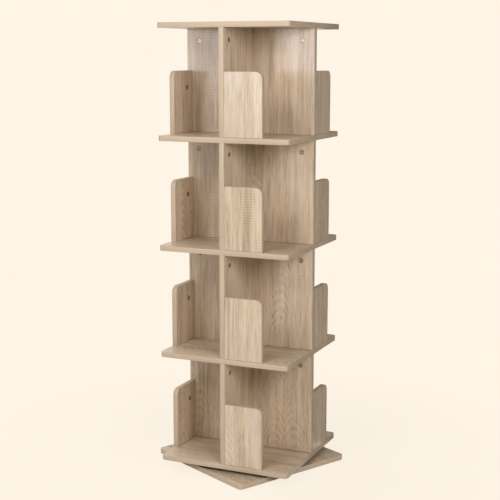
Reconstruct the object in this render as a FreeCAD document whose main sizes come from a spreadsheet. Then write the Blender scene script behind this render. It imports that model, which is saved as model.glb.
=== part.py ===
"""A four-tier revolving bookcase, in millimetres.

Five square shelf boards are held apart by four pinwheels of upright panels, and a low stop stands
beside the outer end of every panel arm. All of it turns about the vertical Z axis, through the
middle of the boards, on a roller turntable that is screwed to a base board. The base board rests
on felt pads and is turned a little against the shelves. The origin is on the turning axis, on
the floor. A piece that repeats at quarter turns is described where it stands at the front, on the
-Y side.
"""

import FreeCAD
import Part
import os
import re
import Sketcher
from FreeCAD import Placement, Rotation, Vector

TIERS = range(4)
QUARTERS = range(4)
ROLLER_COUNT = 6

# Every size that can be set by itself, with what it measures. Lengths in mm, the turn in degrees.
SIZES = {
    "board_side": (400, "side of the square shelf boards and of the base board"),
    "board_thickness": (15, "shelf boards"),
    "base_thickness": (15, "base board under the turntable"),
    "board_corner_radius": (12, "upright corners of every board"),
    "base_turn": (-27, "rest angle of the base board about Z against the shelves"),
    "panel_thickness": (15, "upright cross panels"),
    "tier_height": (299, "clear height between two shelf boards"),
    "stop_length": (115, "stop, measured out from the face of its arm"),
    "stop_height": (180, "stop, above the shelf"),
    "stop_thickness": (15, "stop"),
    "stop_corner_radius": (20, "free top corner of a stop"),
    "pad_side": (24, "square felt pad under the base board"),
    "pad_thickness": (3, "felt pad"),
    "pad_inset": (12, "felt pad, in from the sides of the base board"),
    "cam_radius": (7.5, "cam lock"),
    "cam_depth": (12.5, "cam lock, into its panel or stop"),
    "cam_setback": (34, "centre of a cam, in from the edge that its bolt enters"),
    "cam_end_inset": (37, "centre of a panel cam, in from the free end of its arm"),
    "stop_cam_height": (131, "centre of a stop cam, above the shelf"),
    "bolt_radius": (3, "cam bolt"),
    "bolt_grip": (11, "cam bolt, depth in the neighbour"),
    "dowel_radius": (4, "beech dowels"),
    "stop_dowel_height": (50, "dowel between a stop and its arm, above the shelf"),
    "dowel_face_depth": (10, "dowel, depth in the face of an arm"),
    "dowel_edge_depth": (20, "dowel, depth in the edge of a panel or stop"),
    "low_cross_dowel_height": (70, "lower dowel through the long panel, above the shelf"),
    "high_cross_dowel_height": (230, "upper dowel through the long panel, above the shelf"),
    "shelf_screw_reach": (120, "screw up into a panel, out from the turning axis"),
    "shelf_screw_radius": (3.5, "shelf screw shank"),
    "shelf_screw_length": (50, "shelf screw with its head"),
    "shelf_screw_head_radius": (5, "shelf screw head"),
    "shelf_screw_head_height": (3, "shelf screw head, sunk flush with the underside"),
    "plate_side": (150, "square mounting plates of the turntable"),
    "plate_corner_radius": (10, "corners of a mounting plate"),
    "plate_thickness": (1.5, "steel sheet of a mounting plate"),
    "land_radius": (62, "round land pressed up in the middle of a mounting plate"),
    "land_rise": (1.5, "height that the land is pressed up by"),
    "roller_track_radius": (50, "turning axis to the middle of a roller"),
    "roller_radius": (2, "turntable roller"),
    "roller_length": (8, "turntable roller"),
    "cage_thickness": (1, "ring that spaces the rollers"),
    "cage_margin": (4, "cage ring, past each end of the rollers"),
    "rivet_radius": (6, "pivot rivet"),
    "rivet_head_radius": (11, "heads of the pivot rivet"),
    "rivet_head_thickness": (1, "heads of the pivot rivet"),
    "plate_screw_inset": (9, "plate screw, in from both sides of its plate"),
    "plate_screw_radius": (2, "plate screw shank"),
    "plate_screw_depth": (12, "plate screw, into the board"),
    "plate_screw_head_radius": (4, "plate screw head"),
    "plate_screw_head_height": (1.8, "plate screw head"),
    "access_hole_radius": (11, "hole in the base board for the screwdriver"),
    "running_clearance": (0.25, "between turning pieces of the turntable"),
    "fitting_clearance": (0.15, "around a cam, bolt, dowel or screw in its hole"),
    "roller_sides": (12, "flats that a roller or the pivot rivet is drawn with"),
    "cam_sides": (8, "flats that a cam lock is drawn with"),
    "fastener_sides": (6, "flats that a bolt, dowel or screw is drawn with"),
}

# Heights and places that follow from the sizes above.
TURNTABLE_Z = "(pad_thickness + base_thickness)"
TURNTABLE_HEIGHT = "(2 * (plate_thickness + land_rise + running_clearance + roller_radius))"
BOTTOM_SHELF_Z = f"({TURNTABLE_Z} + {TURNTABLE_HEIGHT})"
BOARD_EDGE = "(board_side / 2)"
PANEL_FACE = "(panel_thickness / 2)"
PANEL_CAM_REACH = f"({BOARD_EDGE} - cam_end_inset)"
PANEL_CAM_HEIGHT = "(tier_height - cam_setback)"
STOP_INNER_FACE = f"({BOARD_EDGE} - stop_thickness)"
STOP_MIDDLE = f"({BOARD_EDGE} - stop_thickness / 2)"
BOLT_REACH = "(cam_setback - cam_radius - fitting_clearance)"
CROSS_DOWEL_HEIGHTS = ("low_cross_dowel_height", "high_cross_dowel_height")
PLATE_SCREW_REACH = "(plate_side / 2 - plate_screw_inset)"
PLATE_SCREW_CIRCLE = f"({PLATE_SCREW_REACH} * 2 ^ 0.5)"
PIVOT_HOLE_RADIUS = "(rivet_radius + running_clearance)"

# How a rod that is drawn along +Z turns to point each way. Lying flat, it always has a corner of
# its outline in the level plane through its axis, so that it fits its hole at every quarter turn.
AHEAD = Rotation(Vector(1, 0, 0), -90)
POINTING = {
    "+X": Rotation(Vector(0, 0, 1), -90) * AHEAD,
    "+Y": AHEAD,
    "-X": Rotation(Vector(0, 0, 1), 90) * AHEAD,
    "-Y": Rotation(Vector(0, 0, 1), 180) * AHEAD,
    "+Z": Rotation(),
    "-Z": Rotation(Vector(1, 0, 0), 180),
}
LEVEL_WAYS = ("+X", "+Y", "-X", "-Y")

doc = FreeCAD.newDocument("revolving_bookcase")
sheet = doc.addObject("Spreadsheet::Sheet", "Sizes")
nodes = []


def write_sheet():
    """Put every size in the spreadsheet, one row each: name, value, what it measures."""
    for row, (name, (value, meaning)) in enumerate(SIZES.items(), start=1):
        sheet.set(f"A{row}", name)
        sheet.set(f"B{row}", str(value))
        sheet.setAlias(f"B{row}", name)
        sheet.set(f"C{row}", meaning)
    doc.recompute()


def sized(rule):
    """The rule with every size named as an expression names it."""
    return re.sub(r"[a-z_]+", lambda word: f"Sizes.{word.group()}", rule)


def value_of(rule):
    return float(sheet.evalExpression(sized(rule)))


def bind(thing, **rules):
    """Bind properties to rules. A double underscore in a property's name stands for a dot."""
    for name, rule in rules.items():
        thing.setExpression(name.replace("__", "."), sized(rule))


def put_at(thing, x="0", y="0", z="0"):
    bind(thing, Placement__Base__x=x, Placement__Base__y=y, Placement__Base__z=z)


def turned(x, y, turn):
    """A place in plan after so many quarter turns about the Z axis."""
    return ((x, y), (f"-({y})", x), (f"-({x})", f"-({y})"), (y, f"-({x})"))[turn]


def way_turned(way, turn):
    return LEVEL_WAYS[(LEVEL_WAYS.index(way) + turn) % len(LEVEL_WAYS)]


def board_z(tier):
    """Underside of the board that a tier stands on."""
    return f"({BOTTOM_SHELF_Z} + {tier} * (board_thickness + tier_height))"


def tier_z(tier):
    """Top of the board that a tier stands on."""
    return f"({board_z(tier)} + board_thickness)"


# ---------------------------------------------------------------- shared building blocks


def rod(sides, radius, length, place, way):
    """A rod with flat sides that starts at a place and points a given way."""
    piece = doc.addObject("Part::Prism", "Rod")
    bind(piece, Polygon=sides, Circumradius=radius, Height=length)
    piece.Placement = Placement(Vector(), POINTING[way])
    put_at(piece, *place)
    return piece


def pin(radius, length, place, way):
    return rod("fastener_sides", radius, length, place, way)


def pin_hole(radius, length, place, way):
    return pin(f"{radius} + fitting_clearance", length, place, way)


def box(width, depth, height, x, y, z="0"):
    """A block with its lowest corner at a place."""
    piece = doc.addObject("Part::Box", "Block")
    bind(piece, Length=width, Width=depth, Height=height)
    put_at(piece, x, y, z)
    return piece


def cylinder(radius, length, place):
    piece = doc.addObject("Part::Cylinder", "Round")
    bind(piece, Radius=radius, Height=length)
    put_at(piece, *place)
    return piece


def joined(pieces):
    whole = doc.addObject("Part::MultiFuse", "Joined")
    whole.Shapes = pieces
    return whole


def drilled(base, tools):
    result = doc.addObject("Part::Cut", "Drilled")
    result.Base = base
    result.Tool = joined(tools)
    return result


def group(pieces):
    """Identical separate solids that share one node."""
    together = doc.addObject("Part::Compound", "Group")
    together.Links = pieces
    return together


def new_sketch(body, role):
    """An empty sketch on one of the body's origin planes."""
    sketch = body.newObject("Sketcher::SketchObject", "Outline")
    plane = next(plane for plane in body.Origin.OriginFeatures if plane.Role == role)
    sketch.AttachmentSupport = [(plane, "")]
    sketch.MapMode = "FlatFace"
    return sketch


def outline(body, role, corners):
    """A closed sketch of straight runs, with each corner placed by two rules."""
    sketch = new_sketch(body, role)
    count = len(corners)
    points = [Vector(value_of(across), value_of(up)) for across, up in corners]
    for index in range(count):
        sketch.addGeometry(Part.LineSegment(points[index], points[(index + 1) % count]), False)
    for index in range(count):
        following = (index + 1) % count
        sketch.addConstraint(Sketcher.Constraint("Coincident", index, 2, following, 1))
    for index, (corner, point) in enumerate(zip(corners, points)):
        for kind, rule, value in (("DistanceX", corner[0], point.x), ("DistanceY", corner[1], point.y)):
            constraint = Sketcher.Constraint(kind, -1, 1, index, 1, value)
            sketch.setExpression(f"Constraints[{sketch.addConstraint(constraint)}]", sized(rule))
    return sketch


def circle(body, role, radius):
    """A sketch of one circle about the origin."""
    sketch = new_sketch(body, role)
    value = value_of(radius)
    sketch.addGeometry(Part.Circle(Vector(), Vector(0, 0, 1), value), False)
    sketch.addConstraint(Sketcher.Constraint("Coincident", 0, 3, -1, 1))
    number = sketch.addConstraint(Sketcher.Constraint("Radius", 0, value))
    sketch.setExpression(f"Constraints[{number}]", sized(radius))
    return sketch


def rectangle(low_x, high_x, low_y, high_y):
    return ((low_x, low_y), (high_x, low_y), (high_x, high_y), (low_x, high_y))


def square(half_side):
    return rectangle(f"-({half_side})", half_side, f"-({half_side})", half_side)


def pad(body, sketch, length):
    feature = body.newObject("PartDesign::Pad", "Pad")
    feature.Profile = sketch
    bind(feature, Length=length)
    return feature


def pocket_through(body, sketch):
    """Cut a sketch right through, both ways from its plane."""
    feature = body.newObject("PartDesign::Pocket", "Opening")
    feature.Profile = sketch
    feature.Type = "ThroughAll"
    feature.Midplane = True
    return feature


def revolution(body, sketch):
    """A full turn of an upright sketch about the Z axis."""
    feature = body.newObject("PartDesign::Revolution", "Turned")
    feature.Profile = sketch
    feature.ReferenceAxis = (sketch, ["V_Axis"])
    return feature


def round_edges(body, feature, chosen, radius):
    """Round the edges of a feature that a test picks."""
    doc.recompute()
    names = [f"Edge{i}" for i, edge in enumerate(feature.Shape.Edges, start=1) if chosen(edge)]
    rounded = body.newObject("PartDesign::Fillet", "Rounded")
    rounded.Base = (feature, names)
    bind(rounded, Radius=radius)
    return rounded


def is_upright(edge):
    return edge.BoundBox.ZLength > edge.BoundBox.XLength + edge.BoundBox.YLength


def place_node(thing, label, z="0", turn=0):
    """Name a finished sub-part, give it its quarter turns about Z and raise it to its height."""
    thing.Label = label
    thing.Placement = Placement(Vector(), Rotation(Vector(0, 0, 1), 90 * turn))
    put_at(thing, z=z)
    nodes.append(thing)


def turn_node(thing, share="1"):
    """Turn a sub-part with the base board, or by a share of its turn."""
    thing.Placement.Rotation = Rotation(Vector(0, 0, 1), 1)
    bind(thing, Placement__Rotation__Angle=f"base_turn * {share}")


# ---------------------------------------------------------------- places of the fasteners


def panel_cam_sites():
    """The front of each panel cam in plan, with the way into its panel. The long panel is machined
    from the front only, and each short panel from the side that its stop stands on."""
    return (
        (PANEL_CAM_REACH, f"-{PANEL_FACE}", "+Y"),
        (f"-{PANEL_CAM_REACH}", f"-{PANEL_FACE}", "+Y"),
        (PANEL_FACE, f"-{PANEL_CAM_REACH}", "-X"),
        (f"-{PANEL_FACE}", PANEL_CAM_REACH, "+X"),
    )


def cam_lock(place, way):
    return rod("cam_sides", "cam_radius", "cam_depth", place, way)


def cam_pocket(place, way):
    return rod("cam_sides", "cam_radius + fitting_clearance", "cam_depth", place, way)


def cam_bolt(end, way):
    """A bolt across a seam, from its end in the neighbour on to the cam."""
    return pin("bolt_radius", f"bolt_grip + {BOLT_REACH}", end, way)


def seam_of_stop(turn, height):
    """Where a stop's fastener crosses the seam between the stop and its arm."""
    return (*turned(PANEL_FACE, f"-{STOP_MIDDLE}", turn), height)


def arm_holes(turn):
    """Holes in one arm of a panel: at its top edge, at its foot and where its stop meets it."""
    top = (*turned("0", f"-{PANEL_CAM_REACH}", turn), "tier_height")
    foot = (*turned("0", "-shelf_screw_reach", turn), "0")
    to_arm = way_turned("-X", turn)
    return [
        pin_hole("bolt_radius", "cam_setback", top, "-Z"),
        pin_hole("shelf_screw_radius", "shelf_screw_length - board_thickness", foot, "+Z"),
        pin_hole("bolt_radius", "bolt_grip", seam_of_stop(turn, "stop_cam_height"), to_arm),
        pin_hole("dowel_radius", "dowel_face_depth", seam_of_stop(turn, "stop_dowel_height"), to_arm),
    ]


# ---------------------------------------------------------------- boards and panels


def plain_board(name, thickness):
    """A square board with rounded corners, its underside at z = 0."""
    body = doc.addObject("PartDesign::Body", name)
    slab = pad(body, outline(body, "XY_Plane", square(BOARD_EDGE)), thickness)
    round_edges(body, slab, is_upright, "board_corner_radius")
    return body


def plate_screw_holes(z, way):
    return [
        pin_hole("plate_screw_radius", "plate_screw_depth", (*place, z), way)
        for place in plate_screw_sites()
    ]


def base_board():
    """The board on the floor, with a hole through which the upper plate is screwed to the shelf."""
    holes = plate_screw_holes("base_thickness", "-Z")
    holes.append(cylinder("access_hole_radius", "base_thickness", (PLATE_SCREW_CIRCLE, "0", "0")))
    board = drilled(plain_board("BaseBoard", "base_thickness"), holes)
    place_node(board, "base_board", z="pad_thickness")
    turn_node(board)


def shelf(level, label):
    """A shelf board: bolt holes under it for the tier below, screw holes for the tier above."""
    holes = []
    for turn in QUARTERS:
        if level > 0:
            place = (*turned(PANEL_CAM_REACH, "0", turn), "0")
            holes.append(pin_hole("bolt_radius", "bolt_grip", place, "+Z"))
        if level < len(TIERS):
            place = (*turned("shelf_screw_reach", "0", turn), "0")
            head = ("shelf_screw_head_radius", "shelf_screw_head_height", place, "+Z")
            holes.append(pin_hole(*head))
            holes.append(pin_hole("shelf_screw_radius", "board_thickness", place, "+Z"))
    if level == 0:
        holes += plate_screw_holes("0", "+Z")
    board = drilled(plain_board("ShelfBoard", "board_thickness"), holes)
    place_node(board, label, z=board_z(level))


def long_panel(tier):
    """The panel that crosses the whole shelf from left to right."""
    slab = box("board_side", "panel_thickness", "tier_height", f"-{BOARD_EDGE}", f"-{PANEL_FACE}")
    holes = arm_holes(1) + arm_holes(3)
    for x, y, way in panel_cam_sites()[:2]:
        holes.append(cam_pocket((x, y, PANEL_CAM_HEIGHT), way))
    for height in CROSS_DOWEL_HEIGHTS:
        holes.append(pin_hole("dowel_radius", "panel_thickness", ("0", f"-{PANEL_FACE}", height), "+Y"))
    place_node(drilled(slab, holes), f"tier_{tier + 1}_long_panel", z=tier_z(tier))


def short_panel(tier, side, turn):
    """A panel from the long panel out to the edge of the shelf."""
    slab = box(
        "panel_thickness",
        f"{BOARD_EDGE} - {PANEL_FACE}",
        "tier_height",
        f"-{PANEL_FACE}",
        f"-{BOARD_EDGE}",
    )
    holes = arm_holes(0)
    x, y, way = panel_cam_sites()[2]
    holes.append(cam_pocket((x, y, PANEL_CAM_HEIGHT), way))
    for height in CROSS_DOWEL_HEIGHTS:
        place = ("0", f"-{PANEL_FACE}", height)
        holes.append(pin_hole("dowel_radius", "dowel_edge_depth", place, "-Y"))
    place_node(drilled(slab, holes), f"tier_{tier + 1}_{side}_panel", z=tier_z(tier), turn=turn)


def stop(tier, side, turn):
    """A low board across half the opening beside an arm. It keeps the books in."""
    body = doc.addObject("PartDesign::Body", "Stop")
    profile = rectangle(PANEL_FACE, f"{PANEL_FACE} + stop_length", "0", "stop_height")
    sketch = outline(body, "XZ_Plane", profile)
    bind(sketch, AttachmentOffset__Base__z=STOP_INNER_FACE)
    slab = pad(body, sketch, "stop_thickness")
    doc.recompute()
    middle = slab.Shape.CenterOfMass

    def is_free_top_corner(edge):
        centre = edge.CenterOfMass
        across = edge.BoundBox.YLength > edge.BoundBox.XLength + edge.BoundBox.ZLength
        return across and centre.x > middle.x and centre.z > middle.z

    round_edges(body, slab, is_free_top_corner, "stop_corner_radius")
    cam_x = f"{PANEL_FACE} + cam_setback"
    holes = [
        cam_pocket((cam_x, f"-{STOP_INNER_FACE}", "stop_cam_height"), "-Y"),
        pin_hole("bolt_radius", "cam_setback", seam_of_stop(0, "stop_cam_height"), "+X"),
        pin_hole("dowel_radius", "dowel_edge_depth", seam_of_stop(0, "stop_dowel_height"), "+X"),
    ]
    place_node(drilled(body, holes), f"tier_{tier + 1}_{side}_stop", z=tier_z(tier), turn=turn)


# ---------------------------------------------------------------- hardware of the tiers


def tier_hardware():
    """The fasteners of all four tiers, one node for each kind."""
    panel_cams, panel_bolts, stop_cams, stop_bolts = [], [], [], []
    stop_dowels, cross_dowels, shelf_screws = [], [], []
    for tier in TIERS:
        floor = tier_z(tier)
        for x, y, way in panel_cam_sites():
            panel_cams.append(cam_lock((x, y, f"{floor} + {PANEL_CAM_HEIGHT}"), way))
        for height in CROSS_DOWEL_HEIGHTS:
            start = ("0", f"-({PANEL_FACE} + dowel_edge_depth)", f"{floor} + {height}")
            length = "panel_thickness + 2 * dowel_edge_depth"
            cross_dowels.append(pin("dowel_radius", length, start, "+Y"))
        for turn in QUARTERS:
            end = (*turned(PANEL_CAM_REACH, "0", turn), f"{floor} + tier_height + bolt_grip")
            panel_bolts.append(cam_bolt(end, "-Z"))
            end = turned(f"{PANEL_FACE} - bolt_grip", f"-{STOP_MIDDLE}", turn)
            end = (*end, f"{floor} + stop_cam_height")
            stop_bolts.append(cam_bolt(end, way_turned("+X", turn)))
            cam_place = turned(f"{PANEL_FACE} + cam_setback", f"-{STOP_INNER_FACE}", turn)
            cam_place = (*cam_place, f"{floor} + stop_cam_height")
            stop_cams.append(cam_lock(cam_place, way_turned("-Y", turn)))
            start = turned(f"{PANEL_FACE} - dowel_face_depth", f"-{STOP_MIDDLE}", turn)
            start = (*start, f"{floor} + stop_dowel_height")
            length = "dowel_face_depth + dowel_edge_depth"
            stop_dowels.append(pin("dowel_radius", length, start, way_turned("+X", turn)))
            foot = (*turned("shelf_screw_reach", "0", turn), board_z(tier))
            shank = pin("shelf_screw_radius", "shelf_screw_length", foot, "+Z")
            head = pin("shelf_screw_head_radius", "shelf_screw_head_height", foot, "+Z")
            shelf_screws.append(joined([shank, head]))
    place_node(group(panel_cams), "panel_cam_locks")
    place_node(group(panel_bolts), "panel_cam_bolts")
    place_node(group(stop_cams), "stop_cam_locks")
    place_node(group(stop_bolts), "stop_cam_bolts")
    place_node(group(stop_dowels), "stop_dowels")
    place_node(group(cross_dowels), "cross_dowels")
    place_node(group(shelf_screws), "shelf_screws")


# ---------------------------------------------------------------- foot and turntable


def felt_pads():
    """Four pads under the corners of the base board."""
    low = f"(pad_inset - {BOARD_EDGE})"
    high = f"({BOARD_EDGE} - pad_inset - pad_side)"
    pads = [box("pad_side", "pad_side", "pad_thickness", x, y) for x in (low, high) for y in (low, high)]
    feet = group(pads)
    place_node(feet, "felt_pads")
    turn_node(feet)


def plate_screw_sites():
    return [turned(PLATE_SCREW_REACH, PLATE_SCREW_REACH, turn) for turn in QUARTERS]


def mounting_plate(label, z):
    """A square steel plate with a round land pressed up in its middle, on which the rollers run."""
    body = doc.addObject("PartDesign::Body", "MountingPlate")
    flange = pad(body, outline(body, "XY_Plane", square("plate_side / 2")), "plate_thickness")
    round_edges(body, flange, is_upright, "plate_corner_radius")
    ramp_foot = "land_radius + land_rise"
    pocket_through(body, circle(body, "XY_Plane", ramp_foot))
    section = (
        (PIVOT_HOLE_RADIUS, "land_rise"),
        ("land_radius", "land_rise"),
        (ramp_foot, "0"),
        (ramp_foot, "plate_thickness"),
        ("land_radius", "land_rise + plate_thickness"),
        (PIVOT_HOLE_RADIUS, "land_rise + plate_thickness"),
    )
    revolution(body, outline(body, "XZ_Plane", section))
    holes = [
        pin_hole("plate_screw_radius", "plate_thickness", (*place, "0"), "+Z")
        for place in plate_screw_sites()
    ]
    plate = drilled(body, holes)
    place_node(plate, label, z=z)
    return plate


def pivot_rivet():
    """The rivet that holds the two plates together and that the upper one turns on."""
    lower_seat = "land_rise"
    upper_seat = f"{TURNTABLE_HEIGHT} - land_rise + running_clearance"
    head = ("roller_sides", "rivet_head_radius", "rivet_head_thickness")
    pieces = [
        rod("roller_sides", "rivet_radius", f"{upper_seat} - {lower_seat}", ("0", "0", lower_seat), "+Z"),
        rod(*head, ("0", "0", lower_seat), "-Z"),
        rod(*head, ("0", "0", upper_seat), "+Z"),
    ]
    place_node(joined(pieces), "turntable_pivot_rivet", z=TURNTABLE_Z)


def around(body, feature):
    """Repeat a feature evenly about the Z axis, once for each roller."""
    pattern = body.newObject("PartDesign::PolarPattern", "Around")
    pattern.Originals = [feature]
    pattern.Axis = (feature.Profile[0], ["N_Axis"])
    pattern.Angle = 360
    pattern.Occurrences = ROLLER_COUNT
    body.Tip = pattern
    return pattern


def roller_cage():
    """The ring between the plates, with a window for each roller."""
    body = doc.addObject("PartDesign::Body", "RollerCage")
    reach = "(roller_length / 2 + cage_margin)"
    pad(body, circle(body, "XY_Plane", f"roller_track_radius + {reach}"), "cage_thickness")
    pocket_through(body, circle(body, "XY_Plane", f"roller_track_radius - {reach}"))
    half_length = "(roller_length / 2 + running_clearance)"
    half_width = "(roller_radius + running_clearance)"
    window = rectangle(
        f"roller_track_radius - {half_length}",
        f"roller_track_radius + {half_length}",
        f"-{half_width}",
        half_width,
    )
    around(body, pocket_through(body, outline(body, "XY_Plane", window)))
    place_node(body, "turntable_cage", z=f"{TURNTABLE_Z} + {TURNTABLE_HEIGHT} / 2 - cage_thickness / 2")
    turn_node(body, "0.5")


def rollers():
    """Rollers that lie like spokes between the two lands."""
    pieces = []
    for index in range(ROLLER_COUNT):
        roller = rod("roller_sides", "roller_radius", "roller_length", ("0", "0", "0"), "+X")
        angle = 360 * index / ROLLER_COUNT
        spoke = Rotation(Vector(0, 0, 1), angle) * POINTING["+X"]
        start = "(roller_track_radius - roller_length / 2)"
        roller.Placement.Rotation = spoke
        roller.setExpression("Placement.Base.x", f"{sized(start)} * cos({angle})")
        roller.setExpression("Placement.Base.y", f"{sized(start)} * sin({angle})")
        pieces.append(roller)
    place_node(group(pieces), "turntable_rollers", z=f"{TURNTABLE_Z} + {TURNTABLE_HEIGHT} / 2")
    turn_node(nodes[-1], "0.5")


def plate_screws(label, seat_z, way_in, way_out):
    """Four screws with their heads on a plate's flange and their shanks in the board."""
    pieces = []
    for place in plate_screw_sites():
        seat = (*place, seat_z)
        shank = pin("plate_screw_radius", "plate_thickness + plate_screw_depth", seat, way_in)
        head = pin("plate_screw_head_radius", "plate_screw_head_height", seat, way_out)
        pieces.append(joined([shank, head]))
    place_node(group(pieces), label)
    return nodes[-1]


def turntable():
    lower = mounting_plate("turntable_lower_plate", TURNTABLE_Z)
    turn_node(lower)
    upper = mounting_plate("turntable_upper_plate", BOTTOM_SHELF_Z)
    upper.Placement.Rotation = POINTING["-Z"]
    pivot_rivet()
    roller_cage()
    rollers()
    lower_seat = f"{TURNTABLE_Z} + plate_thickness"
    turn_node(plate_screws("lower_plate_screws", lower_seat, "-Z", "+Z"))
    plate_screws("upper_plate_screws", f"{BOTTOM_SHELF_Z} - plate_thickness", "+Z", "-Z")


# ---------------------------------------------------------------- the whole bookcase


def tier_panels():
    sides = ("front", "right", "back", "left")
    for tier in TIERS:
        long_panel(tier)
        short_panel(tier, "front", 0)
        short_panel(tier, "back", 2)
        for turn, side in enumerate(sides):
            stop(tier, side, turn)


def boards():
    base_board()
    labels = ("bottom_shelf", "second_shelf", "third_shelf", "fourth_shelf", "top_board")
    for level, label in enumerate(labels):
        shelf(level, label)


def check_and_export():
    """Stop at anything that failed, then write each sub-part to a file of its own."""
    doc.recompute()
    for thing in doc.Objects:
        if {"Invalid", "Error"} & set(thing.State):
            raise RuntimeError(f"{thing.Label} failed: {thing.State}")
    for node in nodes:
        if node.Shape.isNull() or not node.Shape.isValid() or not node.Shape.Solids:
            raise RuntimeError(f"{node.Label} has no valid solid")
    os.makedirs("parts", exist_ok=True)
    for node in nodes:
        node.Shape.exportStep(f"parts/{node.Label}.step")
        print(f"{node.Label}: {len(node.Shape.Solids)} solid(s), {node.Shape.Volume:.0f} mm3")


write_sheet()
felt_pads()
turntable()
boards()
tier_panels()
tier_hardware()
check_and_export()
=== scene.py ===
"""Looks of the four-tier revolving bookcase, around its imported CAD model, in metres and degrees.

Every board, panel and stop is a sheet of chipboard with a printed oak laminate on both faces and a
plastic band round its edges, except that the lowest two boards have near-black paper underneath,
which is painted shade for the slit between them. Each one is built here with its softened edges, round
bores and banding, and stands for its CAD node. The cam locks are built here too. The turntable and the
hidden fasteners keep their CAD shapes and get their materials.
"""

import math
import random

import bmesh
import bpy
from mathutils import Matrix, Vector

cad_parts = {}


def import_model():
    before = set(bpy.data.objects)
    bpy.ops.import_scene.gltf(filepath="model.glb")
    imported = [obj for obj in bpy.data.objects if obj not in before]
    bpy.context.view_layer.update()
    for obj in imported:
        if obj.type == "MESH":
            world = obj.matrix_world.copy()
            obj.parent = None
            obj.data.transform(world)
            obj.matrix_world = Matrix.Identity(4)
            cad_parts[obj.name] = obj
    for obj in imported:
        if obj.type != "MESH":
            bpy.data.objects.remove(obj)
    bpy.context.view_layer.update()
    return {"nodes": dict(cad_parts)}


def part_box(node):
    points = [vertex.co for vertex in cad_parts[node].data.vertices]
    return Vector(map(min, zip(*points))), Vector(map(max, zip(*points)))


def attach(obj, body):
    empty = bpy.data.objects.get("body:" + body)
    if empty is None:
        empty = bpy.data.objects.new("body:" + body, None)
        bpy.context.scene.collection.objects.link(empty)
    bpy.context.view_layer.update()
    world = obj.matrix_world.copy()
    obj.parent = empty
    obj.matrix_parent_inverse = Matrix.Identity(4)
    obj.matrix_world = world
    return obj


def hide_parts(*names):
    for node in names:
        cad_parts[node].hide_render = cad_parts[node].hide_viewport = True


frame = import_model()

X, Y, Z = Vector((1, 0, 0)), Vector((0, 1, 0)), Vector((0, 0, 1))

TIERS = range(1, 5)
SHELVES = ("bottom_shelf", "second_shelf", "third_shelf", "fourth_shelf", "top_board")
STOP_SIDES = ("front", "right", "back", "left")

# Sizes of the pieces, from the frame's boxes where they give them and otherwise as in the CAD source.
BOARD_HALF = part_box("top_board")[1].x
BOARD_CORNER = 0.012
BASE_TURN = -27
PLATE_SCREW_REACH = 0.066
ACCESS_HOLE_REACH = PLATE_SCREW_REACH * math.sqrt(2)
ACCESS_HOLE_RADIUS = 0.011
STOP_CORNER = 0.020
CAM_SETBACK = 0.034
CAM_END_INSET = 0.037
STOP_CAM_HEIGHT = 0.131
CAM_BORE_RADIUS = 0.0075
CAM_BORE_DEPTH = 0.0125

# A sheet's softened edge, its band and the hairline of glue inside it, and how finely its corners and
# bores are drawn. Faces that meet at less than the last angle are shaded as one.
ARRIS = 0.0006
BAND_THICKNESS = 0.001
GLUE_LINE = 0.00015
SHARP_CORNER = 0.0007
SHARP_CORNERS = (SHARP_CORNER,) * 4
SHARP_CORNER_STEPS = 3
ROUND_CORNER_STEPS = 10
BORE_SEGMENTS = 32
SMOOTH_BELOW = 25

# A cam: a flat rim round a dished face, with a bevel outside it and a cross slot in the middle. Each
# is turned by chance, between two angles in radians.
CAM_RADIUS = 0.0067
CAM_RECESS = 0.0008
CAM_BEVEL = 0.0004
CAM_RIM = 0.0008
CAM_DISH = 0.0003
CAM_SLOT_REACH = 0.0046
CAM_SLOT_HALF_WIDTH = 0.0010
CAM_SLOT_DEPTH = 0.0024
CAM_TURNS = (0.3, 1.3)


# ---------------------------------------------------------------- shader nodes


def add(tree, kind, inputs=None, **settings):
    """A shader node with its settings. Each input named gets a value, or a link from a socket."""
    made = tree.nodes.new("ShaderNode" + kind)
    for name, value in settings.items():
        setattr(made, name, value)
    for name, value in (inputs or {}).items():
        if isinstance(value, bpy.types.NodeSocket):
            tree.links.new(value, made.inputs[name])
        else:
            made.inputs[name].default_value = value
    return made


def calc(tree, operation, first, second=0.0, third=0.0):
    return add(tree, "Math", {0: first, 1: second, 2: third}, operation=operation).outputs[0]


def spread(tree, value, low, high, to_low=0.0, to_high=1.0):
    """The value brought from one range to another, and kept inside it."""
    inputs = {"Value": value, "From Min": low, "From Max": high, "To Min": to_low, "To Max": to_high}
    return add(tree, "MapRange", inputs).outputs[0]


def noise(tree, place, per_metre, detail=2, roughness=0.5, distortion=0.0):
    """Noise between 0 and 1 that repeats so often in a metre, in each of the three directions."""
    inputs = {
        "Vector": add(tree, "VectorMath", {0: place, 1: per_metre}, operation="MULTIPLY").outputs[0],
        "Scale": 1.0,
        "Detail": detail,
        "Roughness": roughness,
        "Distortion": distortion,
    }
    return add(tree, "TexNoise", inputs).outputs["Fac"]


def blended(tree, share, first, second, blend_type="MIX"):
    """The first colour, going to the second as the share goes to 1."""
    inputs = {0: share, 6: first, 7: second}
    return add(tree, "Mix", inputs, data_type="RGBA", blend_type=blend_type).outputs[2]


def shaded(tree, value, limits, colours):
    """The first colour where the value is at its lower limit, going to the second at its upper one."""
    return blended(tree, spread(tree, value, *limits), *colours)


def bumped(tree, height, distance):
    return add(tree, "Bump", {"Height": height, "Distance": distance}).outputs[0]


def print_place(tree):
    """Where a point lies on its sheet's print, in metres: X across the grain, Y along it."""
    return add(tree, "UVMap", uv_map="Decor").outputs[0]


def object_place(tree):
    return add(tree, "TexCoord").outputs["Object"]


def new_material(name, **plain):
    """A material, its tree and its shader. The plain values go on the shader's own sockets."""
    material = bpy.data.materials.new(name)
    material.use_nodes = True
    shader = material.node_tree.nodes["Principled BSDF"]
    for socket, value in plain.items():
        shader.inputs[socket.replace("_", " ")].default_value = value
    return material, material.node_tree, shader


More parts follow.
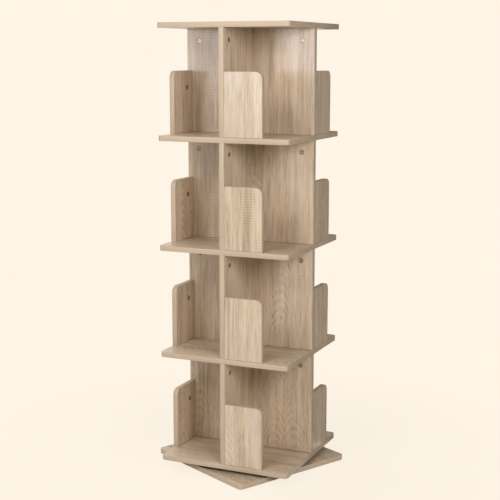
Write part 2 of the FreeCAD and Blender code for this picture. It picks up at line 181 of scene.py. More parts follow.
def feed(tree, shader, **sockets):
    for name, socket in sockets.items():
        tree.links.new(socket, shader.inputs[name.replace("_", " ")])


# ---------------------------------------------------------------- the oak print


# The limits that noise seldom passes, and narrower ones that give it more contrast.
NOISE_LIMITS = (0.30, 0.70)
NOISE_MIDDLE = (0.35, 0.65)

# The print is made of staves side by side, so many to a metre.
STAVES = 13.0
STRIP_UNEVENNESS = 0.8

# Each layer of streaks: how often they repeat in a metre across the grain and along it, how fine,
# rough and bent they are, and how much of the grain they make up.
STREAKS = (
    ((42, 1.6, 1), 2, 0.5, 0.3, 0.32),
    ((140, 7.0, 1), 3, 0.6, 0.2, 0.38),
    ((360, 22.0, 1), 3, 0.65, 0.0, 0.30),
)
STREAK_LIMITS = (0.34, 0.65)

# Arches: their spacing along the grain, how steeply they fall to either side, how far they stray from
# their place in radians, how wide, deep and broken their lines are, the level between the lines, and
# how strongly they lie over the streaks. They are on some staves, and on some stretches of those.
ARCH_SPACING = 0.026
ARCH_FLANK = 95
ARCH_STRAY = 14.0
ARCH_LINE = (-0.2, 0.9)
ARCH_LINE_DEPTH = 0.9
ARCH_DASHES = (0.36, 0.60)
ARCH_GROUND = 0.85
ARCH_SHARE = 0.13
ARCHED_STAVES = (0.70, 0.74)
ARCHED_STRETCHES = (0.42, 0.60)

# Rows of saw marks: how many strips a metre has, the marks' spacing, how far they stray from it in
# radians, and which strips and stretches have them. The lanes keep each strip's stretches its own.
SAW_STRIPS = 34.0
SAW_SPACING = 0.0075
SAW_STRAY = 2.5
SAWN_STRIPS = (0.68, 0.72)
SAWN_STRETCHES = (0.52, 0.58)
SAW_LANES = 60

# How much the tone changes from stave to stave, in clouds, and from mark to mark.
STAVE_TONE = 0.09
CLOUD_TONE = 0.09
SAW_TONE = 0.13

# Where the noise is high enough for a pore or a speck, how dark each is, and which staves have specks.
PORE_LIMITS = (0.64, 0.74)
PORE_SHARE = 0.30
SPECK_LIMITS = (0.70, 0.78)
SPECK_SHARE = 0.45
SPECKLED_STAVES = (0.5, 0.7)

OAK_DARK = (0.350, 0.254, 0.163, 1)
OAK_MIDDLE = (0.560, 0.436, 0.315, 1)
OAK_PALE = (0.705, 0.575, 0.445, 1)
OAK_TINTS = (0.95, 0.975, 1.0, 1), (1.0, 0.975, 0.93, 1)
OAK_PORE = (0.30, 0.21, 0.13, 1)
OAK_ROUGHNESS = (0.28, 0.22)
GRAIN_HEIGHT = 0.3
OAK_RELIEF = 0.00003


def strips(tree, across, per_metre):
    """Strips of uneven width, side by side.

    Gives how far a point is from its strip's middle, in widths of a strip, and three random numbers
    that each strip has, as Red, Green and Blue.
    """
    inputs = {"W": across, "Scale": per_metre, "Randomness": STRIP_UNEVENNESS}
    cells = add(tree, "TexVoronoi", inputs, voronoi_dimensions="1D").outputs
    return cells["Distance"], add(tree, "SeparateColor", {0: cells["Color"]}).outputs


def straight_grain(tree, place):
    """Long pale and dark streaks, from about 3 mm to 24 mm wide."""
    grain = 0.0
    for per_metre, detail, roughness, distortion, share in STREAKS:
        layer = noise(tree, place, per_metre, detail, roughness, distortion)
        grain = calc(tree, "MULTIPLY_ADD", layer, share, grain)
    return grain


def cathedral_grain(tree, place, along, off_middle):
    """Pointed arches, one inside the next, about the middle of a stave. Their lines are broken."""
    flank = calc(tree, "POWER", calc(tree, "MULTIPLY", off_middle, ARCH_FLANK), 2)
    climb = calc(tree, "MULTIPLY_ADD", along, 2 * math.pi / ARCH_SPACING, flank)
    stray = noise(tree, place, per_metre=(18, 6, 1), detail=3, roughness=0.6)
    phase = calc(tree, "MULTIPLY_ADD", stray, ARCH_STRAY, climb)
    lines = spread(tree, calc(tree, "SINE", phase), *ARCH_LINE, 0.0, ARCH_LINE_DEPTH)
    breaks = noise(tree, place, per_metre=(260, 24, 1), detail=3, roughness=0.65)
    dashes = spread(tree, breaks, *ARCH_DASHES)
    return calc(tree, "SUBTRACT", ARCH_GROUND, calc(tree, "MULTIPLY", lines, dashes))


def stave_grain(tree, place, along, off_middle, chance):
    """Straight grain, with faint arches over stretches of some staves."""
    on_stave = spread(tree, chance, *ARCHED_STAVES)
    on_stretch = spread(tree, noise(tree, place, per_metre=(16, 6, 1)), *ARCHED_STRETCHES)
    share = calc(tree, "MULTIPLY", calc(tree, "MULTIPLY", on_stave, on_stretch), ARCH_SHARE)
    inputs = {0: share, 2: straight_grain(tree, place), 3: cathedral_grain(tree, place, along, off_middle)}
    return add(tree, "Mix", inputs).outputs[0]


def saw_marks(tree, place, across, along):
    """Rows of short bars across the grain, on some strips and only here and there along them."""
    chance = strips(tree, across, SAW_STRIPS)[1]["Red"]
    lane = add(tree, "CombineXYZ", {0: calc(tree, "MULTIPLY", chance, SAW_LANES), 1: along}).outputs[0]
    on_stretch = spread(tree, noise(tree, lane, per_metre=(1, 9, 1), detail=1), *SAWN_STRETCHES)
    patch = calc(tree, "MULTIPLY", spread(tree, chance, *SAWN_STRIPS), on_stretch)
    stray = calc(tree, "MULTIPLY", noise(tree, place, per_metre=(40, 60, 1), detail=1), SAW_STRAY)
    bars = calc(tree, "SINE", calc(tree, "MULTIPLY_ADD", along, 2 * math.pi / SAW_SPACING, stray))
    return calc(tree, "MULTIPLY", bars, patch)


def tone_of(tree, place, across, along, chance):
    """How much lighter or darker than its grain a point is, by its stave, in clouds and in saw marks."""
    stave = spread(tree, chance, 0.0, 1.0, -STAVE_TONE, STAVE_TONE)
    clouds = noise(tree, place, per_metre=(14, 3, 1), detail=3)
    cloud = spread(tree, clouds, *NOISE_LIMITS, -CLOUD_TONE, CLOUD_TONE)
    marks = saw_marks(tree, place, across, along)
    return calc(tree, "MULTIPLY_ADD", marks, SAW_TONE, calc(tree, "ADD", stave, cloud))


def oak_colour(tree, place, level):
    """The oak's colour at a level between dark and pale, here a little greyer and there browner."""
    ramp = add(tree, "ValToRGB", {0: level})
    stops = ramp.color_ramp.elements
    stops[0].color = OAK_DARK
    stops[1].color = OAK_PALE
    stops.new(0.5).color = OAK_MIDDLE
    tint = shaded(tree, noise(tree, place, per_metre=(24, 5, 1)), NOISE_MIDDLE, OAK_TINTS)
    return blended(tree, 1.0, ramp.outputs[0], tint, "MULTIPLY")


def dark_spots(tree, place, pore, chance):
    """How much of the pores' dark colour shows: in fine pores, and in specks on some staves."""
    specks = spread(tree, noise(tree, place, per_metre=(260, 120, 1), detail=1), *SPECK_LIMITS)
    speck = calc(tree, "MULTIPLY", specks, spread(tree, chance, *SPECKLED_STAVES))
    pore_part = calc(tree, "MULTIPLY", pore, PORE_SHARE)
    return calc(tree, "MAXIMUM", pore_part, calc(tree, "MULTIPLY", speck, SPECK_SHARE))


def laminate():
    """A print of pale sonoma oak: staves of uneven tone, each with straight or cathedral grain."""
    material, tree, shader = new_material("oak_laminate_face")
    place = print_place(tree)
    parts = add(tree, "SeparateXYZ", {0: place}).outputs
    across, along = parts["X"], parts["Y"]
    widths_off, chances = strips(tree, across, STAVES)
    off_middle = calc(tree, "DIVIDE", widths_off, STAVES)
    grain = stave_grain(tree, place, along, off_middle, chances["Green"])
    tone = tone_of(tree, place, across, along, chances["Red"])
    level = calc(tree, "ADD", spread(tree, grain, *STREAK_LIMITS), tone)
    pore = spread(tree, noise(tree, place, per_metre=(1500, 45, 1), roughness=0.6), *PORE_LIMITS)
    spots = dark_spots(tree, place, pore, chances["Blue"])
    height = calc(tree, "MULTIPLY_ADD", grain, GRAIN_HEIGHT, calc(tree, "MULTIPLY", pore, -1.0))
    feed(
        tree,
        shader,
        Base_Color=blended(tree, spots, oak_colour(tree, place, level), OAK_PORE),
        Roughness=spread(tree, grain, *NOISE_LIMITS, *OAK_ROUGHNESS),
        Normal=bumped(tree, height, OAK_RELIEF),
    )
    return material


# ---------------------------------------------------------------- other materials


# The two colours between which each material varies.
BAND_COLOURS = (0.400, 0.305, 0.210, 1), (0.560, 0.440, 0.320, 1)
GLUE_COLOURS = (0.16, 0.11, 0.07, 1), (0.33, 0.24, 0.16, 1)
CHIP_COLOURS = (0.24, 0.15, 0.085, 1), (0.50, 0.36, 0.22, 1)
# Near-black paper under the lowest two boards: painted shade for the slit between them.
PAINTED_SHADE_BACKING_COLOURS = (0.010, 0.008, 0.006, 1), (0.030, 0.024, 0.018, 1)
BEECH_COLOURS = (0.45, 0.28, 0.15, 1), (0.66, 0.46, 0.28, 1)
FELT_COLOURS = (0.06, 0.052, 0.045, 1), (0.19, 0.17, 0.15, 1)
NYLON_COLOURS = (0.62, 0.60, 0.55, 1), (0.74, 0.72, 0.67, 1)
ZINC_COLOURS = (0.19, 0.155, 0.11, 1), (0.38, 0.31, 0.225, 1)
STEEL_COLOURS = (0.34, 0.35, 0.36, 1), (0.60, 0.61, 0.62, 1)
SCREW_COLOURS = (0.42, 0.40, 0.34, 1), (0.66, 0.63, 0.55, 1)
FLAG_COLOURS = (0.03, 0.03, 0.03, 1), (0.07, 0.07, 0.07, 1)

BAND_STREAK_SHARE = 0.6
BAND_ROUGHNESS = (0.42, 0.54)
NYLON_ROUGHNESS = (0.40, 0.55)

# How much finer scratches are than the clouds in a metal's plating, in each direction, and how much
# rougher the metal is where both are high.
SCRATCH_FINENESS = (40, 3, 3)
WEAR_LIMITS = (0.7, 1.3)
WEAR_ROUGHNESS = 0.2


def edge_band():
    """The plastic band round a sheet's edges, in a plainer oak with fine streaks along it."""
    material, tree, shader = new_material("oak_edge_band")
    place = print_place(tree)
    streaks = noise(tree, place, per_metre=(900, 9, 1), detail=4, roughness=0.6, distortion=0.2)
    cloud = noise(tree, place, per_metre=(20, 5, 1))
    cloud_part = calc(tree, "MULTIPLY", cloud, 1 - BAND_STREAK_SHARE)
    level = calc(tree, "MULTIPLY_ADD", streaks, BAND_STREAK_SHARE, cloud_part)
    feed(
        tree,
        shader,
        Base_Color=shaded(tree, level, NOISE_LIMITS, BAND_COLOURS),
        Roughness=spread(tree, cloud, *NOISE_LIMITS, *BAND_ROUGHNESS),
        Normal=bumped(tree, streaks, distance=0.00006),
    )
    return material


def glue_line():
    """The hairline between the band and the laminate."""
    material, tree, shader = new_material("glue_line", Roughness=0.7)
    specks = noise(tree, print_place(tree), per_metre=(700, 700, 1))
    feed(tree, shader, Base_Color=shaded(tree, specks, NOISE_MIDDLE, GLUE_COLOURS))
    return material


def chipboard():
    """Raw board in the walls of a bore: pressed flakes."""
    material, tree, shader = new_material("chipboard", Roughness=0.9)
    inputs = {"Vector": object_place(tree), "Scale": 900.0, "Randomness": 1.0}
    flakes = add(tree, "TexVoronoi", inputs).outputs["Color"]
    shade = add(tree, "SeparateColor", {0: flakes}).outputs["Red"]
    colour = blended(tree, shade, *CHIP_COLOURS)
    feed(tree, shader, Base_Color=colour, Normal=bumped(tree, shade, distance=0.0003))
    return material


def painted_shade_backing():
    """Near-black brown paper with fibres, on hidden faces: painted shade for the slit under the bottom
    shelf.
    """
    material, tree, shader = new_material("painted_shade_backing_paper", Roughness=0.9, Specular_IOR_Level=0.15)
    per_metre = (500, 120, 1)
    fibres = noise(tree, print_place(tree), per_metre, detail=4, roughness=0.7, distortion=0.8)
    colour = shaded(tree, fibres, NOISE_LIMITS, PAINTED_SHADE_BACKING_COLOURS)
    feed(tree, shader, Base_Color=colour, Normal=bumped(tree, fibres, distance=0.00005))
    return material


def brushed_metal(name, colours, roughness, per_metre, metallic=1.0):
    """Metal with cloudy plating and fine scratches. Under a dull film, less of it is metallic."""
    material, tree, shader = new_material(name, Metallic=metallic)
    place = object_place(tree)
    cloud = noise(tree, place, (per_metre,) * 3, detail=3, roughness=0.6)
    scratches_per_metre = [per_metre * times for times in SCRATCH_FINENESS]
    scratches = noise(tree, place, scratches_per_metre, detail=3, roughness=0.7)
    wear = calc(tree, "ADD", cloud, scratches)
    feed(
        tree,
        shader,
        Base_Color=shaded(tree, cloud, NOISE_LIMITS, colours),
        Roughness=spread(tree, wear, *WEAR_LIMITS, roughness, roughness + WEAR_ROUGHNESS),
        Normal=bumped(tree, scratches, distance=0.00003),
    )
    return material


def beech():
    """Turned beech with short flecks along the dowel."""
    material, tree, shader = new_material("beech_dowel", Roughness=0.7)
    flecks = noise(tree, object_place(tree), per_metre=(700, 700, 90), detail=3, roughness=0.6)
    colour = shaded(tree, flecks, NOISE_MIDDLE, BEECH_COLOURS)
    feed(tree, shader, Base_Color=colour, Normal=bumped(tree, flecks, distance=0.0001))
    return material


def felt():
    """Grey-brown needle felt, with loose fibres on its surface."""
    material, tree, shader = new_material("felt_pad", Roughness=1.0, Sheen_Weight=0.3)
    per_metre = (1400, 1400, 1400)
    fibres = noise(tree, object_place(tree), per_metre, detail=4, roughness=0.8, distortion=1.5)
    colour = shaded(tree, fibres, NOISE_LIMITS, FELT_COLOURS)
    feed(tree, shader, Base_Color=colour, Normal=bumped(tree, fibres, distance=0.0006))
    return material


def nylon():
    """Milky moulded nylon, a little uneven."""
    material, tree, shader = new_material("cage_nylon", Subsurface_Weight=0.1)
    cloud = noise(tree, object_place(tree), per_metre=(120, 120, 120), detail=3)
    colour = shaded(tree, cloud, NOISE_LIMITS, NYLON_COLOURS)
    roughness = spread(tree, cloud, *NOISE_LIMITS, *NYLON_ROUGHNESS)
    feed(tree, shader, Base_Color=colour, Roughness=roughness)
    return material


# The last sheet material is the near-black paper, painted shade under the lowest two boards.
FACE, BAND, GLUE, RAW, PAINTED_SHADE_BACKING = range(5)
SHEET_MATERIALS = (laminate(), edge_band(), glue_line(), chipboard(), painted_shade_backing())


# ---------------------------------------------------------------- outlines and meshes


def towards(angle):
    """The direction at an angle in radians, with a length of 1."""
    return Vector((math.cos(angle), math.sin(angle)))


def pairs_round(count):
    """Each number below the count with the next one, and the last with the first."""
    return [(i, (i + 1) % count) for i in range(count)]


def circle_points(centre, radius):
    angles = [2 * math.pi * i / BORE_SEGMENTS for i in range(BORE_SEGMENTS)]
    return [Vector(centre) + radius * towards(angle) for angle in angles]


def rounded_outline(width, height, radii, inset):
    """Points anticlockwise round a rectangle, from its lower left corner, with each corner an arc."""
    points = []
    for turn, radius in enumerate(radii):
        right, up = turn in (1, 2), turn in (2, 3)
        centre = Vector((width - radius if right else radius, height - radius if up else radius))
        steps = SHARP_CORNER_STEPS if radius == SHARP_CORNER else ROUND_CORNER_STEPS
        for step in range(steps + 1):
            angle = math.pi + (turn + step / steps) * math.pi / 2
            points.append(centre + (radius - inset) * towards(angle))
    return points


def lengths_round(points):
    """How far each point lies from the first, and the whole way round, at the end."""
    lengths = [0.0]
    for i, j in pairs_round(len(points)):
        lengths.append(lengths[-1] + (points[j] - points[i]).length)
    return lengths


def loop_edges(bm, ring):
    return [bm.edges.get((ring[i], ring[j])) for i, j in pairs_round(len(ring))]


def set_at(corner, width_way, height_way):
    """Where a piece goes: its origin, and the ways that its width and height run."""
    axes = Matrix((width_way, height_way, width_way.cross(height_way))).transposed()
    return Matrix.Translation(corner) @ axes.to_4x4()


def quarter(turn):
    return Matrix.Rotation(turn * math.pi / 2, 4, "Z")


def finished(bm, name, materials):
    """The mesh as an object, shaded smooth where it is round."""
    bmesh.ops.recalc_face_normals(bm, faces=bm.faces)
    mesh = bpy.data.meshes.new(name)
    bm.to_mesh(mesh)
    bm.free()
    for material in materials:
        mesh.materials.append(material)
    mesh.shade_smooth()
    mesh.set_sharp_from_angle(angle=math.radians(SMOOTH_BELOW))
    piece = bpy.data.objects.new(name, mesh)
    bpy.context.scene.collection.objects.link(piece)
    return piece


# ---------------------------------------------------------------- sheets


# Where each sheet's print starts is drawn by chance within this many metres, and the print on its
# lower face lies this far from the one on its upper face.
PRINT_SEED = "oak "
PRINT_REACH = 8
LOWER_PRINT_SHIFT = Vector((3.3, 1.7))


def edge_steps(thickness):
    """The edge from the lower face to the upper: how far in, how high, and what covers the next step."""
    half_arris = ARRIS * (1 - math.sqrt(0.5))
    face_start = BAND_THICKNESS + GLUE_LINE
    return (
        (face_start, 0, GLUE),
        (BAND_THICKNESS, 0, BAND),
        (ARRIS, 0, BAND),
        (half_arris, half_arris, BAND),
        (0, ARRIS, BAND),
        (0, thickness - ARRIS, BAND),
        (half_arris, thickness - half_arris, BAND),
        (ARRIS, thickness, BAND),
        (BAND_THICKNESS, thickness, GLUE),
        (face_start, thickness, None),
    )


class SheetMesh:
    """The mesh of one sheet of laminated chipboard, with its lower face at level 0.

    The rings of each face are the edge of its laminate and the mouths of the bores in it.
    """

    def __init__(self, name, size):
        self.width, self.height, self.thickness = size
        chance = random.Random(PRINT_SEED + name)
        reach = (-PRINT_REACH, PRINT_REACH)
        self.print_start = Vector((chance.uniform(*reach), chance.uniform(*reach)))
        self.bm = bmesh.new()
        self.print_layer = self.bm.loops.layers.uv.new("Decor")
        self.lower_rings, self.upper_rings = [], []

    def ring(self, points, level):
        return [self.bm.verts.new((*point, level)) for point in points]

    def wall(self, lower, upper, material, lengths):
        """Faces between two rings, with their print running round the sheet."""
        for i, j in pairs_round(len(lower)):
            face = self.bm.faces.new((lower[i], lower[j], upper[j], upper[i]))
            face.material_index = material
            for loop, along in zip(face.loops, (lengths[i], lengths[i + 1], lengths[i + 1], lengths[i])):
                place = (loop.vert.co.z + self.print_start.x, along + self.print_start.y)
                loop[self.print_layer].uv = place

    def band(self, radii):
        """The edge band with its glue lines, all the way round."""
        steps = edge_steps(self.thickness)
        rings = []
        for inset, level, _ in steps:
            rings.append(self.ring(rounded_outline(self.width, self.height, radii, inset), level))
        lengths = lengths_round(rounded_outline(self.width, self.height, radii, 0))
        for lower, upper, (_, _, material) in zip(rings, rings[1:], steps):
            self.wall(lower, upper, material, lengths)
        self.lower_rings.append(rings[0])
        self.upper_rings.append(rings[-1])

    def drill(self, centre, radius, depth):
        """A bore from the upper face, or from the lower one if its depth is negative."""
        from_above = depth > 0
        points = circle_points(centre, radius)
        mouth = self.thickness if from_above else 0
        outer, inner = self.ring(points, mouth), self.ring(points, mouth - depth)
        self.wall(outer, inner, RAW, lengths_round(points))
        faces = [self.upper_rings, self.lower_rings]
        near, far = faces if from_above else reversed(faces)
        near.append(outer)
        if abs(depth) >= self.thickness:
            far.append(inner)
        else:
            self.bm.faces.new(inner).material_index = RAW

    def cover(self, rings, material, start, grain_along_width):
        """The print or paper on one face, inside its first ring and outside the others."""
        edges = [edge for ring in rings for edge in loop_edges(self.bm, ring)]
        made = bmesh.ops.triangle_fill(self.bm, use_beauty=True, use_dissolve=False, edges=edges)
        for face in (item for item in made["geom"] if isinstance(item, bmesh.types.BMFace)):
            face.material_index = material
            for loop in face.loops:
                x, y = loop.vert.co.x, loop.vert.co.y
                across, along = (y, x) if grain_along_width else (x, y)
                loop[self.print_layer].uv = (across + start.x, along + start.y)


def sheet(name, node, size, radii, place, bores=(), grain_along_width=False, under=FACE):
    """One sheet of laminated chipboard, with its lower left corner at the place given.

    The size is its width, height and thickness. A bore is (centre, radius, depth) and starts at the
    upper face, or at the lower one if its depth is negative. Its lower face is laminate, or the
    near-black paper that paints shade.
    """
    made = SheetMesh(name, size)
    made.band(radii)
    for centre, radius, depth in bores:
        made.drill(centre, radius, depth)
    lower_start = made.print_start + LOWER_PRINT_SHIFT
    made.cover(made.lower_rings, under, lower_start, grain_along_width)
    made.cover(made.upper_rings, FACE, made.print_start, grain_along_width)
    made.bm.transform(place)
    piece = finished(made.bm, name, SHEET_MATERIALS)
    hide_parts(node)
    return piece


def cam_bore(across, up, depth=CAM_BORE_DEPTH):
    return (across, up), CAM_BORE_RADIUS, depth


# ---------------------------------------------------------------- boards, panels and stops


def board(node, turn=0.0, bores=(), under=FACE):
    """A square board, lying down, its grain along X."""
    low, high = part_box(node)
    corner = Vector((-BOARD_HALF, -BOARD_HALF, low.z))
    place = Matrix.Rotation(math.radians(turn), 4, "Z") @ set_at(corner, X, Y)
    size = (2 * BOARD_HALF, 2 * BOARD_HALF, high.z - low.z)
    radii = (BOARD_CORNER,) * 4
    return sheet(node + "_board", node, size, radii, place, bores, grain_along_width=True, under=under)


def boards():
    """The base board, with its bore for a screwdriver, and the shelves. Paper backs the lowest two:
    near-black, as painted shade for the slit between them.
    """
    low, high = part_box("base_board")
    centre = (BOARD_HALF + ACCESS_HOLE_REACH, BOARD_HALF)
    access = (centre, ACCESS_HOLE_RADIUS, high.z - low.z)
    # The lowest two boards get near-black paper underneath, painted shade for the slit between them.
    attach(board("base_board", BASE_TURN, [access], PAINTED_SHADE_BACKING), "base")
    for node in SHELVES:
        under = PAINTED_SHADE_BACKING if node == SHELVES[0] else FACE
        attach(board(node, under=under), "carousel")


def long_panel(tier):
    """The panel across the whole shelf, with a cam near each end of its front face."""
    node = f"tier_{tier}_long_panel"
    low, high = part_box(node)
    width, height, thickness = high.x - low.x, high.z - low.z, high.y - low.y
    ends = (CAM_END_INSET, width - CAM_END_INSET)
    bores = [cam_bore(across, height - CAM_SETBACK) for across in ends]
    place = set_at(Vector((low.x, high.y, low.z)), X, Z)
    return sheet(node + "_sheet", node, (width, height, thickness), SHARP_CORNERS, place, bores)


def short_panel(tier, side, turn):
    """A panel from the long one out to the shelf's edge, described at the front."""
    node = f"tier_{tier}_{side}_panel"
    low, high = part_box(f"tier_{tier}_front_panel")
    width, height, thickness = high.y - low.y, high.z - low.z, high.x - low.x
    bores = [cam_bore(CAM_END_INSET, height - CAM_SETBACK)]
    place = quarter(turn) @ set_at(low, Y, Z)
    return sheet(node + "_sheet", node, (width, height, thickness), SHARP_CORNERS, place, bores)


def stop(tier, side, turn):
    """The low board beside an arm, with its cam on the inside and a rounded free corner."""
    node = f"tier_{tier}_{side}_stop"
    low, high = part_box(f"tier_{tier}_front_stop")
    size = (high.x - low.x, high.z - low.z, high.y - low.y)
    radii = (SHARP_CORNER, SHARP_CORNER, STOP_CORNER, SHARP_CORNER)
    bores = [cam_bore(CAM_SETBACK, STOP_CAM_HEIGHT, -CAM_BORE_DEPTH)]
    place = quarter(turn) @ set_at(Vector((low.x, high.y, low.z)), X, Z)
    return sheet(node + "_sheet", node, size, radii, place, bores)


def uprights():
    for tier in TIERS:
        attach(long_panel(tier), "carousel")
        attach(short_panel(tier, "front", 0), "carousel")
        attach(short_panel(tier, "back", 2), "carousel")
        for turn, side in enumerate(STOP_SIDES):
            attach(stop(tier, side, turn), "carousel")


# ---------------------------------------------------------------- cam locks


def cross_points(reach, half_width):
    """The outline of a cross slot, anticlockwise."""
    points = []
    for turn in range(4):
        out = towards(turn * math.pi / 2)
        side = Vector((-out.y, out.x))
        points.append(out * reach - side * half_width)
        points.append(out * reach + side * half_width)
        points.append(out * half_width + side * half_width)
    return points


def cam_ring(bm, place, points, level):
    """Vertices on a cam, at a level above its rim."""
    return [bm.verts.new(place @ Vector((*point, level - CAM_RECESS))) for point in points]


def join_rings(bm, rings):
    for lower, upper in zip(rings, rings[1:]):
        for i, j in pairs_round(len(lower)):
            bm.faces.new((lower[i], lower[j], upper[j], upper[i]))


def cam(bm, place):
    """A die-cast cam: a disc with a bevel, a raised rim and a cross slot."""
    rim_outside = CAM_RADIUS - CAM_BEVEL
    rim_inside = rim_outside - CAM_RIM
    profile = (
        (CAM_RADIUS, CAM_RECESS - CAM_BORE_DEPTH),
        (CAM_RADIUS, -CAM_BEVEL),
        (rim_outside, 0.0),
        (rim_inside, 0.0),
        (rim_inside - CAM_DISH, -CAM_DISH),
    )
    disc = [cam_ring(bm, place, circle_points((0, 0), radius), level) for radius, level in profile]
    join_rings(bm, disc)
    bm.faces.new(list(reversed(disc[0])))
    cross = cross_points(CAM_SLOT_REACH, CAM_SLOT_HALF_WIDTH)
    slot = [cam_ring(bm, place, cross, level) for level in (-CAM_DISH, -CAM_SLOT_DEPTH)]
    join_rings(bm, slot)
    bm.faces.new(slot[-1])
    edges = loop_edges(bm, disc[-1]) + loop_edges(bm, slot[0])
    bmesh.ops.triangle_fill(bm, use_beauty=True, edges=edges)


def cams(name, node, places, zinc):
    """The cams of one node, in their bores, as one piece."""
    bm = bmesh.new()
    chance = random.Random(name)
    for place in places:
        cam(bm, place @ Matrix.Rotation(chance.uniform(*CAM_TURNS), 4, "Z"))
    piece = finished(bm, name, [zinc])
    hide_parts(node)
    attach(piece, "carousel")


def panel_cam_places():
    """Near the upper outer corner of each arm, where its bore is."""
    places = []
    for tier in TIERS:
        low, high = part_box(f"tier_{tier}_long_panel")
        height = high.z - CAM_SETBACK
        reach = high.x - CAM_END_INSET
        for x in (-reach, reach):
            places.append(set_at(Vector((x, low.y, height)), X, Z))
        right_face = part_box(f"tier_{tier}_front_panel")[1].x
        for turn in (0, 2):
            places.append(quarter(turn) @ set_at(Vector((right_face, -reach, height)), Y, Z))
    return places


def stop_cam_places():
    """On the inner face of each stop, beside the arm that it is drawn to."""
    places = []
    for tier in TIERS:
        low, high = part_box(f"tier_{tier}_front_stop")
        centre = Vector((low.x + CAM_SETBACK, high.y, low.z + STOP_CAM_HEIGHT))
        for turn in range(4):
            places.append(quarter(turn) @ set_at(centre, -X, Z))
    return places


def cam_locks():
    zinc = brushed_metal("cam_zinc_cast", ZINC_COLOURS, roughness=0.15, per_metre=300, metallic=0.65)
    cams("panel_cams", "panel_cam_locks", panel_cam_places(), zinc)
    cams("stop_cams", "stop_cam_locks", stop_cam_places(), zinc)


# ---------------------------------------------------------------- CAD nodes that keep their shape


def dress_cad_nodes():
    steel = brushed_metal("turntable_steel_plated", STEEL_COLOURS, roughness=0.32, per_metre=90)
    screw = brushed_metal("screw_steel_plated", SCREW_COLOURS, roughness=0.28, per_metre=200)
    wood = beech()
    by_node = {
        "felt_pads": felt(),
        "turntable_lower_plate": steel,
        "turntable_upper_plate": steel,
        "turntable_pivot_rivet": steel,
        "turntable_rollers": steel,
        "turntable_cage": nylon(),
        "lower_plate_screws": screw,
        "upper_plate_screws": screw,
        "panel_cam_bolts": screw,
        "stop_cam_bolts": screw,
        "shelf_screws": screw,
        "stop_dowels": wood,
        "cross_dowels": wood,
    }
    for name, material in by_node.items():
        for held in frame["nodes"][name].material_slots:
            held.material = material


# ---------------------------------------------------------------- stage


CREAM = (0.991, 0.913, 0.791, 1)
WHITE = (1, 1, 1)

FLOOR_HALF = 12.0
FLOOR_PAINT = (0.92, 0.87, 0.79, 1)

# Near the object the floor shows this share of its real light and shadow, and farther off none.
SHADOW_SHARE = 0.10
SHADOW_FADE = (0.4, 1.0)

WORLD_LEVEL = 0.07

# The flag's board, and the mat that lies from its foot towards the object.
FLAG_HALF_WIDTH = 1.2
FLAG_HEIGHT = 2.6
FLAG_HEADING = 62
FLAG_DISTANCE = 1.35
FLAG_MAT_START = 0.3
FLAG_LIFT = 0.002


def is_seen(tree):
    """1 for rays that show the background itself or its mirror image."""
    path = add(tree, "LightPath").outputs
    seen = calc(tree, "MAXIMUM", path["Is Camera Ray"], path["Is Glossy Ray"])
    return calc(tree, "MAXIMUM", seen, path["Is Transmission Ray"])


def stage_piece(name, corners, faces, material):
    """A piece of the set, which isn't part of the object."""
    mesh = bpy.data.meshes.new(name)
    mesh.from_pydata(corners, [], faces)
    mesh.materials.append(material)
    piece = bpy.data.objects.new(name, mesh)
    bpy.context.scene.collection.objects.link(piece)
    return piece


def floor():
    """A plain floor that is cream to the eye, with a faint soft shadow near the object."""
    material, tree, shader = new_material("floor_cream", Base_Color=FLOOR_PAINT, Roughness=0.9)
    away = add(tree, "VectorMath", {0: object_place(tree)}, operation="LENGTH").outputs["Value"]
    lit_share = spread(tree, away, *SHADOW_FADE, SHADOW_SHARE, 0.0)
    cream_share = calc(tree, "MULTIPLY", is_seen(tree), calc(tree, "SUBTRACT", 1.0, lit_share))
    glow = add(tree, "Emission", {"Color": CREAM, "Strength": 1.0})
    mix = add(tree, "MixShader", {0: cream_share, 1: shader.outputs[0], 2: glow.outputs[0]})
    tree.links.new(mix.outputs[0], tree.nodes["Material Output"].inputs["Surface"])
    half = FLOOR_HALF
    corners = [(-half, -half, 0), (half, -half, 0), (half, half, 0), (-half, half, 0)]
    stage_piece("floor", corners, [(0, 1, 2, 3)], material)


def world():
    """A background that is cream to the eye and lights the object a little, in white."""
    made = bpy.data.worlds.new("studio")
    made.use_nodes = True
    tree = made.node_tree
    light = tree.nodes["Background"]
    light.inputs["Color"].default_value = (*WHITE, 1)
    light.inputs["Strength"].default_value = WORLD_LEVEL
    cream = add(tree, "Background", {"Color": CREAM, "Strength": 1.0})
    mix = add(tree, "MixShader", {0: is_seen(tree), 1: light.outputs[0], 2: cream.outputs[0]})
    tree.links.new(mix.outputs[0], tree.nodes["World Output"].inputs["Surface"])
    bpy.context.scene.world = made


def flag():
    """A dark board and a mat before it, seen only in the mirror image on the object's right sides."""
    material, tree, shader = new_material("flag_cloth", Roughness=1.0)
    weave = noise(tree, object_place(tree), per_metre=(40, 40, 40), detail=3)
    feed(tree, shader, Base_Color=blended(tree, weave, *FLAG_COLOURS))
    half, near, far = FLAG_HALF_WIDTH, FLAG_MAT_START, FLAG_DISTANCE
    corners = [(near, -half, 0), (near, half, 0), (far, half, 0), (far, -half, 0)]
    corners += [(far, half, FLAG_HEIGHT), (far, -half, FLAG_HEIGHT)]
    cloth = stage_piece("flag", corners, [(0, 3, 2, 1), (2, 3, 5, 4)], material)
    cloth.location.z = FLAG_LIFT
    cloth.rotation_euler.z = math.radians(FLAG_HEADING)
    cloth.visible_camera = cloth.visible_diffuse = cloth.visible_shadow = False


# ---------------------------------------------------------------- lamps and camera


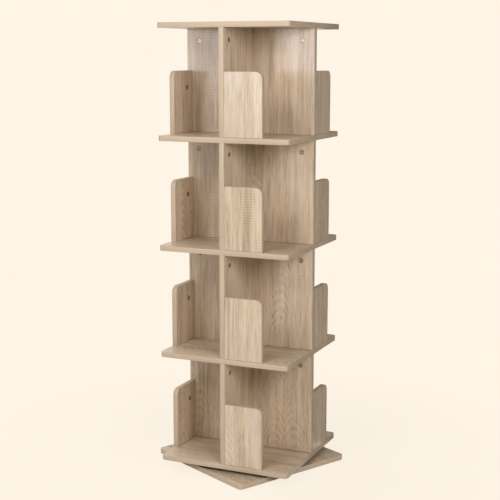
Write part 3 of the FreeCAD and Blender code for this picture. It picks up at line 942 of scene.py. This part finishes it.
# What the lamps are turned to: the tower's middle, and its top tier.
MIDDLE = Vector((0, 0, 0.65))
UPPER = Vector((0, 0, 1.1))
COOL = (0.99, 1.0, 1.08)

# The camera's place and the way it looks, and its lens in millimetres.
CAMERA_PLACE = (1.3438, -3.0263, 1.2071)
CAMERA_HEADING = 113.978
CAMERA_PITCH = -9.704
CAMERA_LENS = 81.68


def softbox(name, heading, height, distance, size, watts, aim=MIDDLE, tint=WHITE):
    """An area lamp, so many metres wide and high, turned to the object. The tint is its colour."""
    data = bpy.data.lights.new(name, "AREA")
    data.shape = "RECTANGLE"
    data.size, data.size_y = size
    data.energy = watts
    data.color = tint
    lamp = bpy.data.objects.new(name, data)
    turn = math.radians(heading)
    lamp.location = (math.cos(turn) * distance, math.sin(turn) * distance, height)
    lamp.rotation_euler = (aim - lamp.location).to_track_quat("-Z", "Y").to_euler()
    bpy.context.scene.collection.objects.link(lamp)


def lamps():
    """Lamps at the front right and left, for the haze on the top tier, behind, and above."""
    softbox("right_light", heading=-46, height=1.8, distance=3.0, size=(1.1, 1.1), watts=58)
    softbox("left_light", heading=-101, height=2.5, distance=2.7, size=(1.1, 1.1), watts=30.5)
    softbox(
        "sheen_light",
        heading=-113,
        height=1.38,
        distance=3.28,
        size=(0.97, 0.68),
        watts=16,
        aim=UPPER,
        tint=COOL,
    )
    softbox("back_light", heading=158, height=2.2, distance=3.2, size=(1.5, 1.5), watts=55)
    softbox("top_light", heading=-90, height=3.3, distance=0.6, size=(1.0, 1.0), watts=13)


def camera():
    data = bpy.data.cameras.new("camera")
    data.lens = CAMERA_LENS
    made = bpy.data.objects.new("camera", data)
    made.location = CAMERA_PLACE
    made.rotation_euler = (math.radians(90 + CAMERA_PITCH), 0, math.radians(CAMERA_HEADING - 90))
    bpy.context.scene.collection.objects.link(made)
    bpy.context.scene.camera = made
    bpy.context.scene.view_settings.view_transform = "Standard"


boards()
uprights()
cam_locks()
dress_cad_nodes()
floor()
world()
flag()
lamps()
camera()
